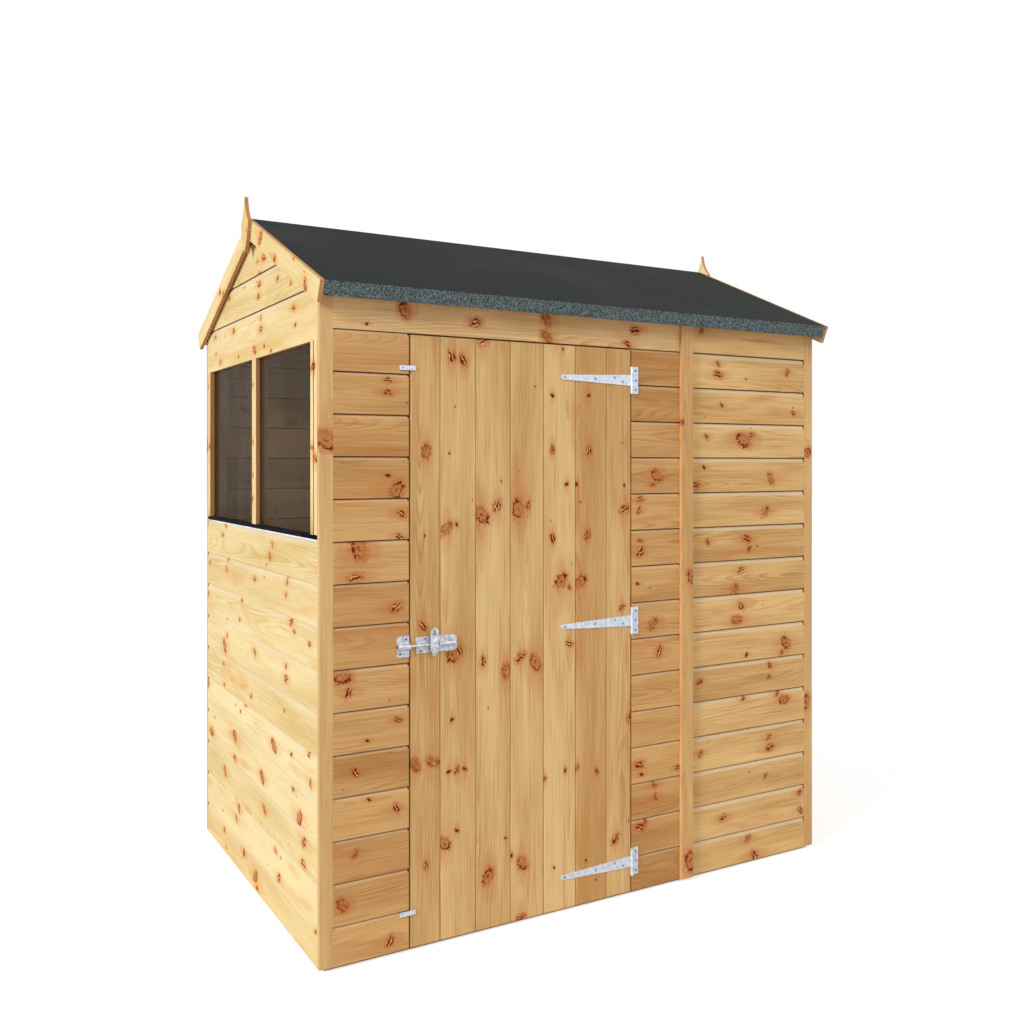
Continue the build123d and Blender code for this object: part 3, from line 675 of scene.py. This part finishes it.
# A kind gives the colour of the painted highlight in its coves, and the mm and strength of the
# painted shadow at its joints.
long_wall = {"highlight_tint": (210, 190, 158), "shadow": 2.6, "joints": 0.8}
gable = {"highlight_tint": (216, 200, 170), "shadow": 1.2, "joints": 0.8}
sunny_gable = {**gable, "joints": 0.25}
walls = [
    ("front_cladding_left", "-y", LEFT_STRIP_KNOTS, 2, shaded_tones, long_wall, 0.4, 0.55, 4.5),
    ("front_cladding_middle", "-y", MIDDLE_STRIP_KNOTS, 2, shaded_tones, long_wall, 0.4, 0.55, 4.5),
    ("front_cladding_right", "-y", RIGHT_PANEL_KNOTS, 2, wall_tones, long_wall, 0.65, 1.0, 8.0),
    ("back_cladding", "+y", (), 2, wall_tones, long_wall, 0.5, 1.0, 8.0),
    ("left_cladding_lower", "-x", GABLE_KNOTS, 3, sunlit_gable_tones, sunny_gable, 0.45, 1.0, 9.0),
    ("left_cladding_upper", "-x", GABLE_TOP_KNOTS, 4, sunlit_gable_tones, gable, 0.6, 1.0, 9.0),
    ("right_cladding", "+x", (), 2, wall_tones, gable, 0.5, 1.0, 9.0)]
for number, (name, outward, knots, cells, tones, kind, strength, share, end) in enumerate(walls):
    along = "x" if outward[1] == "y" else "y"
    low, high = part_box(name)
    cove = {"outward": outward, "strength": strength, "share": share, "open_end": end * MM,
            "highlight_tint": kind["highlight_tint"]}
    dress(pine("pine_" + name, along, "z", COURSE, LOWEST_JOINT, seed=number * 3.7, listed=knots,
               ends=(low[AXIS[along]], high[AXIS[along]]), cells=cells, cove=cove,
               joints=kind["joints"], shadow=kind["shadow"], **tones), name)

# %% [markdown]
# Trims, strips and the wide plain board over the door are single boards, so the steps of their
# pattern are wide enough to take in the whole piece. Those on the gable are painted pale, as
# painted sunlight, where they face the light. Their other faces are painted redder, partly as
# the colour of a sawn edge and partly as painted shade.

# %% Dress the trims
ROOF_SLOPE = math.radians(23.8)


def upright(knots):
    """Knots listed as (sideways, height, radius), turned to lie along an upright board."""
    return [(height, sideways, radius) for sideways, height, radius in knots]


# Trims on the sunny gable are paler as painted sunlight; their edge colour is partly sawn wood and
# partly painted shade.
sunlit_trim_tones = dict(sunlit_gable_tones, joints=0.0, edge_colour_and_shade=(178, 112, 60), pale=(231, 213, 161),
                  deep=(211, 180, 117))
strip_tones = {"pale": (219, 181, 125), "deep": (190, 146, 92), "warm": (200, 140, 84),
               "joints": 0.0}
dress(pine("pine_lintel", "x", "z", 0.4, 1.6, seed=2.2, joints=0.0, listed=LINTEL_KNOTS,
           ends=(-0.9, 0.4), cells=16, pale=(235, 200, 146), deep=(198, 154, 100)),
      "front_lintel_board")
dress(pine("pine_corner_strip", "z", "x", 1.8, -0.9, seed=4.1, listed=upright(CORNER_KNOTS),
           ends=(0.0, 1.85), cells=12, **strip_tones), "corner_strips")
dress(pine("pine_cover_strip", "z", "x", 0.3, 0.2, seed=4.6, listed=upright(COVER_STRIP_KNOTS),
           ends=(0.0, 1.8), **strip_tones), "front_cover_strip")
dress(pine("pine_window_upright", "z", "y", 0.6, -0.9, seed=6.4, listed=upright(UPRIGHT_KNOTS),
           ends=(1.1, 1.7), cells=10, **sunlit_trim_tones), "window_jamb_trims", "window_mullion")
dress(pine("pine_window_head", "y", "z", 0.3, 1.6, seed=6.9, listed=HEAD_TRIM_KNOTS,
           ends=(-0.6, 0.6), cells=10, **sunlit_trim_tones), "window_head_trim")
for side in ("front", "rear"):
    dress(pine("pine_bargeboard_" + side, "y", "z", 0.3, 1.7, seed=24.0, slope=ROOF_SLOPE,
               listed=BARGEBOARD_KNOTS, ends=(-0.9, 0.9), cells=16, **sunlit_trim_tones),
          "bargeboards_" + side)
dress(pine("pine_finial", "z", "y", 0.3, -0.15, seed=25.5, largest=8.0, **sunlit_trim_tones), "finials")

# %% [markdown]
# The door has seven boards, so its first one begins three and a half boards left of its middle.

# %% Dress the door
DOOR_BOARD = 113.5 * MM
DOOR_MIDDLE = -0.263
DOOR_ENDS = (0.012, 1.7024)
dress(pine("pine_door", "z", "x", DOOR_BOARD, DOOR_MIDDLE - 3.5 * DOOR_BOARD, seed=11.0,
           listed=upright(DOOR_KNOTS), ends=DOOR_ENDS, pale=(222, 187, 130),
           deep=(188, 142, 85)), "door_boards")
dress(pine("pine_ledge", "x", "z", 0.3, 0.0, seed=12.0, joints=0.0),
      "door_ledges", "door_braces")

# %% [markdown]
# The timber inside is plainer and duller. The floor has 18 boards in its length, and the roof's
# boards are 90 mm wide and run along the ridge.

# %% Dress the framing, the floor and the roof timbers
INSIDE_PALE = (205, 165, 110)
frame_tones = {"pale": INSIDE_PALE, "deep": (180, 134, 82), "joints": 0.0}
dress(pine("pine_stud", "z", "x", 0.07, 0.0, seed=21.0, **frame_tones),
      "front_studs", "back_studs", "gable_studs")
dress(pine("pine_rail", "x", "z", 0.3, 0.0, seed=22.0, **frame_tones),
      "front_rails", "back_rails", "ridge_beam", "roof_purlins", "eaves_rails",
      "floor_bearers")
dress(pine("pine_gable_rail", "y", "z", 0.3, 0.0, seed=23.0, **frame_tones),
      "gable_rails", "gable_rafters")
FLOOR_LENGTH = 1.766
dress(pine("pine_floor", "y", "x", FLOOR_LENGTH / 18, -FLOOR_LENGTH / 2, seed=26.0,
           pale=INSIDE_PALE), "floor_boards")
ROOF_BOARD = 90.0 * MM
ROOF_JOINT = 124.8 * MM
dress(pine("pine_roof_boards", "x", "y", ROOF_BOARD, ROOF_JOINT, seed=27.0, slope=ROOF_SLOPE,
           pale=INSIDE_PALE), "roof_boards_front", "roof_boards_rear")

# %% [markdown]
# Roofing felt is bitumen rolled with crushed slate. On the slopes, which lie flat to the light,
# it is a plain dark grey. Where it is turned down over the eaves the grit catches the light, and
# its cut edge shows the blue-green backing.

# %% Roofing felt
def felt(name):
    """Mineral felt: grit of two sizes, faint on the slope, with a painted highlight on the eaves.
    """
    r = Recipe(name, roughness=0.95, gloss=0.1)
    fine = r.noise(r.place, 380.0, 2.0, 0.8)
    coarse = r.noise(r.place, 140.0, 1.0)
    grit = r.line(coarse, 0.2, r.times(fine, 0.8))
    cloud = r.noise(r.place, 2.5, 3.0)
    facing_up = r.axes(r.add("ShaderNodeTexCoord").outputs["Normal"])[2]
    lit_grains = r.mix(r.fade(grit, 0.42, 0.64), (44, 55, 57), (140, 154, 154))
    r.colour = r.mix(r.fade(grit, 0.35, 0.7), (37, 40, 38), (51, 54, 52))
    r.paint(r.times(r.fade(cloud, 0.4, 0.7), 0.25), (62, 66, 63))
    # Faces that don't look up show the grit's painted highlight.
    r.colour = r.mix(r.fade(facing_up, 0.5, 0.8), lit_grains, r.colour)
    r.paint(r.fade(facing_up, -0.6, -0.8), (62, 104, 116))
    r.bump(grit, 1.0 * MM, 0.5)
    return r.finished()


dress(felt("mineral_felt"), "roof_felt_front", "roof_felt_rear")

# %% [markdown]
# Hot-dip zinc is pale and slightly blue, with a soft uneven gloss. The screws are plated and
# darker, with a cross sunk in each head.

# %% Galvanised steel
def galvanised(name, dark=(196, 206, 218), light=(226, 233, 242)):
    """Zinc on steel: bright, a little cloudy, half dull."""
    r = Recipe(name, metallic=0.55)
    cloud = r.noise(r.place, 90.0, 3.0)
    r.colour = r.mix(r.fade(cloud, 0.3, 0.7), dark, light)
    r.feed(r.shader.inputs["Roughness"], r.line(cloud, 0.25, 0.35))
    r.bump(r.noise(r.place, 400.0, 2.0), 0.2 * MM, 0.4)
    return r.finished()


dress(galvanised("zinc"), "hinge_straps", "hinge_plates", "turn_button_top",
      "turn_button_bottom", "turn_button_screws")
dress(galvanised("bolt_zinc", (172, 177, 185), (226, 232, 240)), "bolt_plate", "bolt_keeper",
      "bolt_bar")

# %% [markdown]
# The panes are clear plastic sheet. Seen from outside the shed is dark, so most of what a pane
# shows is the far wall through a brown dusk, with a little of the sky on top. A faint brown veil
# on the pane is painted shade that deepens that dusk.

# %% Glass
def sheet_glazing(name):
    """Clear sheet under a faint brown veil of painted shade, thicker in slow streaks."""
    r = Recipe(name, roughness=0.06, gloss=0.05)
    # Painted shade: the brown of the dim shed behind the pane.
    r.colour = linear(64, 52, 33)
    dusk_veil = r.noise(r.stretched(r.place, (0.0, 1.0, 0.4)), 9.0, 2.0)
    r.feed(r.shader.inputs["Alpha"], r.fade(dusk_veil, 0.2, 0.8, 0.16, 0.34))
    return r.finished()


dress(sheet_glazing("sheet_glazing"), "window_panes")

# %% [markdown]
# Small pieces
#
# What is too fine for the solids is added as skins: stacks of rings of points, worked out as
# whole arrays and joined by quads. A round head, a bead and a strip are all such stacks. The sign
# of the volume that a skin encloses tells whether its faces point outwards.

# %% A mesh from stacks of rings
def skins(name, points, body, material, smooth=True):
    """Closed skins in one mesh. points is (skins, rings, points around, 3)."""
    count, rings, around = points.shape[:3]
    index = np.arange(count * rings * around).reshape(count, rings, around)
    beside = np.roll(index, -1, axis=2)
    quads = np.stack([index[:, :-1], beside[:, :-1], beside[:, 1:], index[:, 1:]], axis=-1)
    faces = [*quads.reshape(-1, 4).tolist(), *index[:, 0, ::-1].tolist(), *index[:, -1].tolist()]
    mesh = bpy.data.meshes.new(name)
    mesh.from_pydata(points.reshape(-1, 3).tolist(), [], faces)
    work = bmesh.new()
    work.from_mesh(mesh)
    if work.calc_volume(signed=True) < 0:
        bmesh.ops.reverse_faces(work, faces=work.faces[:])
        work.to_mesh(mesh)
    print(name, "faces:", len(faces), "volume:", round(work.calc_volume() * 1e9), "mm3")
    work.free()
    mesh.polygons.foreach_set("use_smooth", [smooth] * len(mesh.polygons))
    mesh.materials.append(material)
    piece = bpy.data.objects.new(name, mesh)
    bpy.context.scene.collection.objects.link(piece)
    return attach(piece, body)


# %% [markdown]
# Screw heads
#
# A countersunk head stands in each hinge hole, slightly domed, with a cross recess. Its height
# over the sheet is a shallow dome less a groove wherever either arm of the cross is near. The
# rings, from the skirt below the sheet to the middle, are given as shares of the radius.

# %% Screw heads
HEAD_RADIUS = 3.7 * MM


def screw_heads(name, places, face, body, material):
    """Heads at (x, z) on a sheet whose outer face is at y = face.

    The dome rises 0.75 mm over a rim 0.35 mm high, and the cross is 0.9 mm deep.
    """
    share = np.array([0.6, 0.97, 1.0, 0.96, 0.86, 0.72, 0.58, 0.5, 0.42, 0.3, 0.18, 0.05])
    angle = np.linspace(0.0, 2 * np.pi, 40, endpoint=False)
    across = HEAD_RADIUS * share[:, None] * np.cos(angle)
    up = HEAD_RADIUS * share[:, None] * np.sin(angle)
    dome = 0.35 * MM + 0.75 * MM * (1 - share ** 2)[:, None]
    arm = np.clip(1.6 - np.minimum(abs(across), abs(up)) / (0.4 * MM), 0.0, 1.0)
    inner = np.clip((0.58 - share) / 0.06, 0.0, 1.0)[:, None]
    height = dome - 0.9 * MM * arm * inner
    height[:2] = [[-0.4 * MM], [0.0]]
    places = np.array(places)[:, None, None]
    x = places[..., 0] + across
    z = places[..., 1] + up
    y = np.broadcast_to(face - height, x.shape)
    skins(name, np.stack([x, y, z], axis=-1), body, material)


screw_zinc = galvanised("screw_zinc", (112, 116, 126), (158, 163, 174))
HINGE_X = 114.5 * MM
HINGE_HEIGHTS = (1.607, 0.857, 0.105)
KNUCKLE_OVER_SHEET = 7.5 * MM
STRAP_SCREWS = ((-247.0, 0.0), (-135.5, 0.0), (-64.0, 6.0), (-33.5, -7.0))
PLATE_SCREWS = ((16.0, -30.0), (16.0, 0.0), (16.0, 30.0))
hinge_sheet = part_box("hinge_plates")[0][1] + KNUCKLE_OVER_SHEET
for name, screws, body in (("strap_screws", STRAP_SCREWS, "door"),
                           ("plate_screws", PLATE_SCREWS, "shed")):
    places = [(HINGE_X + x * MM, z + up * MM) for z in HINGE_HEIGHTS for x, up in screws]
    screw_heads(name, places, hinge_sheet, body, screw_zinc)

# %% [markdown]
# The bolt is fixed with a few screws only, at places measured from its corners.

# %% Screws of the bolt
SHEET = 2.5 * MM
HOUSING_OVER_SHEET = 4.0 * MM
CORNER = 9.0 * MM
low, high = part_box("bolt_keeper")
bolt_sheet = high[1] - SHEET
screw_heads("keeper_screws", [(low[0] + CORNER, high[2] - CORNER),
                              (high[0] - CORNER, low[2] + CORNER)],
            bolt_sheet, "shed", nodes["bolt_keeper"].data.materials[0])
keeper_holes = [(high[0] - CORNER, high[2] - CORNER), (low[0] + CORNER, low[2] + CORNER)]
low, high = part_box("bolt_plate")
screw_heads("bolt_plate_screws", [(high[0] - 16 * MM, z) for z in (high[2] - 11.5 * MM,
                                                                   low[2] + 11.5 * MM)],
            bolt_sheet - HOUSING_OVER_SHEET, "door", nodes["bolt_plate"].data.materials[0])
plate_holes = [(low[0] + 13 * MM, low[2] + 6 * MM), (low[0] + 28 * MM, high[2] - 6 * MM),
               (low[0] + 62 * MM, low[2] + 6 * MM), (low[0] + 62 * MM, high[2] - 6 * MM)]

# %% [markdown]
# The bolt's other holes are left open. An open hole looks dark because its countersunk rim faces
# away from the light, so a dark dished disc of painted shade lies in each.

# %% Open holes of the bolt
HOLE_RADIUS = 3.1 * MM
shade = Recipe("hole_shade", roughness=0.9)
# Painted shade: dark red-brown, as wood looks deep in an open hole.
shade.colour = shade.mix(shade.noise(shade.place, 120.0, 1.0), (58, 22, 14), (150, 82, 44))
hole_shade = shade.finished()


def hole_shadow_discs(name, places, face, body):
    """Discs of painted shade at (x, z), lower in the middle: depth is a cosine bell of the radius.
    """
    share = np.array([1.0, 0.97, 0.8, 0.6, 0.4, 0.2, 0.03])
    angle = np.linspace(0.0, 2 * np.pi, 32, endpoint=False)
    height = 0.3 * MM - 0.2 * MM * (1 + np.cos(np.pi * share)) / 2
    height[0] = -0.2 * MM
    places = np.array(places)[:, None, None]
    x = places[..., 0] + HOLE_RADIUS * share[:, None] * np.cos(angle)
    z = places[..., 1] + HOLE_RADIUS * share[:, None] * np.sin(angle)
    y = np.broadcast_to(face - height[:, None], x.shape)
    skins(name, np.stack([x, y, z], axis=-1), body, hole_shade)


hole_shadow_discs("keeper_holes", keeper_holes, bolt_sheet, "shed")
hole_shadow_discs("bolt_plate_holes", plate_holes, bolt_sheet, "door")

# %% [markdown]
# Under the panes a black rubber strip with a lip lies on the board and keeps the rain out; its
# black also paints the shadow in the gap below the panes. Below it a white strip fills the cove
# along the board's top edge, a painted highlight where the cove catches the sky. A wooden bead is
# pinned on each jamb beside the glass. All of them are bars with a rounded section, carried
# straight along.

# %% Strips and beads round the panes
def straight_bar(name, axis, low, high, material):
    """A bar along one axis that fills a box, its section pushed out towards a square.

    The section is a circle whose cosine and sine are raised to the power 0.4, signs kept.
    """
    angle = np.linspace(0.0, 2 * np.pi, 24, endpoint=False)
    waves = np.zeros((24, 3))
    waves[:, (axis + 1) % 3], waves[:, (axis + 2) % 3] = np.cos(angle), np.sin(angle)
    section = np.sign(waves) * abs(waves) ** 0.4 / 2
    low, high = np.array(low), np.array(high)
    middles = np.repeat([(low + high) / 2], 9, axis=0)
    middles[:, axis] = np.linspace(low[axis], high[axis], 9)
    skins(name, (middles[:, None] + section * (high - low))[None], "shed", material)


# The black also paints the shadow in the gap below the panes.
rubber = Recipe("black_rubber_and_gap_shade", roughness=0.7, gloss=0.05)
dust = rubber.fade(rubber.noise(rubber.place, 60.0, 3.0), 0.45, 0.75)
rubber.colour = rubber.mix(dust, (8, 9, 13), (20, 22, 28))
rubber.bump(rubber.noise(rubber.place, 300.0, 1.0), 0.2 * MM, 0.5)
# Painted highlight: the white stands in for sky caught in the cove.
white = Recipe("white_cove_highlight", roughness=0.35)
cloud = white.fade(white.noise(white.place, 25.0, 2.0), 0.3, 0.7)
white.colour = white.mix(cloud, (206, 210, 226), (236, 238, 246))
black_rubber_and_gap_shade, white_cove_highlight = rubber.finished(), white.finished()

wall_low, wall_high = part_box("left_cladding_lower")
trim_low, trim_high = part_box("window_jamb_trims")
wall_face, board_top, pane_face = wall_low[0], wall_high[2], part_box("window_panes")[0][0]
lip_low, lip_high = board_top - 5.7 * MM, board_top + 1.0 * MM
strips = [
    ("glazing_strip", pane_face - 9.5 * MM, pane_face, 0.0, board_top, trim_low[2], black_rubber_and_gap_shade),
    ("glazing_lip", wall_face + 0.8 * MM, wall_face + 4.2 * MM, 2 * MM, lip_low, lip_high,
     black_rubber_and_gap_shade),
    ("cove_highlight_strip", wall_face + 0.1 * MM, wall_face + 4.0 * MM, 4 * MM, lip_low - 5 * MM, lip_low,
     white_cove_highlight)]
for name, outer, inner, inset, bottom, top, material in strips:
    straight_bar(name, 1, (outer, trim_low[1] + inset, bottom),
                 (inner, trim_high[1] - inset, top), material)

BEAD = 20.0 * MM
JAMB_EDGE = 547.0 * MM
for name, start in (("bead_front", -JAMB_EDGE - BEAD), ("bead_rear", JAMB_EDGE)):
    straight_bar(name, 2, (wall_face - 4.0 * MM, start, trim_low[2]),
                 (wall_face + 1.0 * MM, start + BEAD, trim_high[2]),
                 nodes["window_jamb_trims"].data.materials[0])

# %% [markdown]
# The studio: one broad lamp on the window side, a softer one from the front and a sky all round.
# The sky is white where it is seen, directly, in a gloss or through glass, and less bright where
# it only lights the shed.

# %% Light
SKY_LIGHT = 0.45


def sun(name, towards, strength, spread):
    """A distant lamp that shines towards a direction, with soft edges to its shadows."""
    lamp = bpy.data.lights.new(name, "SUN")
    lamp.energy = strength
    lamp.angle = math.radians(spread)
    item = bpy.data.objects.new(name, lamp)
    item.rotation_mode = "QUATERNION"
    item.rotation_quaternion = Vector(towards).to_track_quat("-Z", "Y")
    bpy.context.scene.collection.objects.link(item)


sun("window_side_lamp", (0.85, 0.22, -0.42), 2.5, 14.0)
sun("front_lamp", (-0.2, 0.8, -0.6), 0.75, 25.0)

world = bpy.data.worlds.new("studio")
bpy.context.scene.world = world
world.use_nodes = True
sky, wires = world.node_tree.nodes, world.node_tree.links
paths = sky.new("ShaderNodeLightPath").outputs
seen = paths["Is Camera Ray"]
for kind in ("Is Glossy Ray", "Is Transmission Ray"):
    either = sky.new("ShaderNodeMath")
    either.operation = "MAXIMUM"
    wires.new(seen, either.inputs[0])
    wires.new(paths[kind], either.inputs[1])
    seen = either.outputs[0]
brightness = sky.new("ShaderNodeMapRange")
brightness.inputs["To Min"].default_value = SKY_LIGHT
brightness.inputs["To Max"].default_value = 1.0
wires.new(seen, brightness.inputs["Value"])
sky["Background"].inputs["Color"].default_value = (1.0, 1.0, 1.0, 1.0)
wires.new(brightness.outputs[0], sky["Background"].inputs["Strength"])

# %% [markdown]
# The studio's floor keeps the shed's shadow. A glow that only the camera sees lifts the rest of
# it to white.

# %% Floor
REACH = 30.0
FLOOR_GLOW = 0.55
floor_mesh = bpy.data.meshes.new("studio_floor")
floor_mesh.from_pydata([(-REACH, -REACH, 0), (REACH, -REACH, 0), (REACH, REACH, 0),
                        (-REACH, REACH, 0)], [], [(0, 1, 2, 3)])
floor = bpy.data.objects.new("studio_floor", floor_mesh)
bpy.context.scene.collection.objects.link(floor)
cover = Recipe("floor_white", roughness=1.0, gloss=0.0)
cover.colour = (0.8, 0.8, 0.8, 1.0)
cover.shader.inputs["Emission Color"].default_value = (1.0, 1.0, 1.0, 1.0)
ray = cover.add("ShaderNodeLightPath").outputs["Is Camera Ray"]
cover.feed(cover.shader.inputs["Emission Strength"], cover.times(ray, FLOOR_GLOW))
floor_mesh.materials.append(cover.finished())
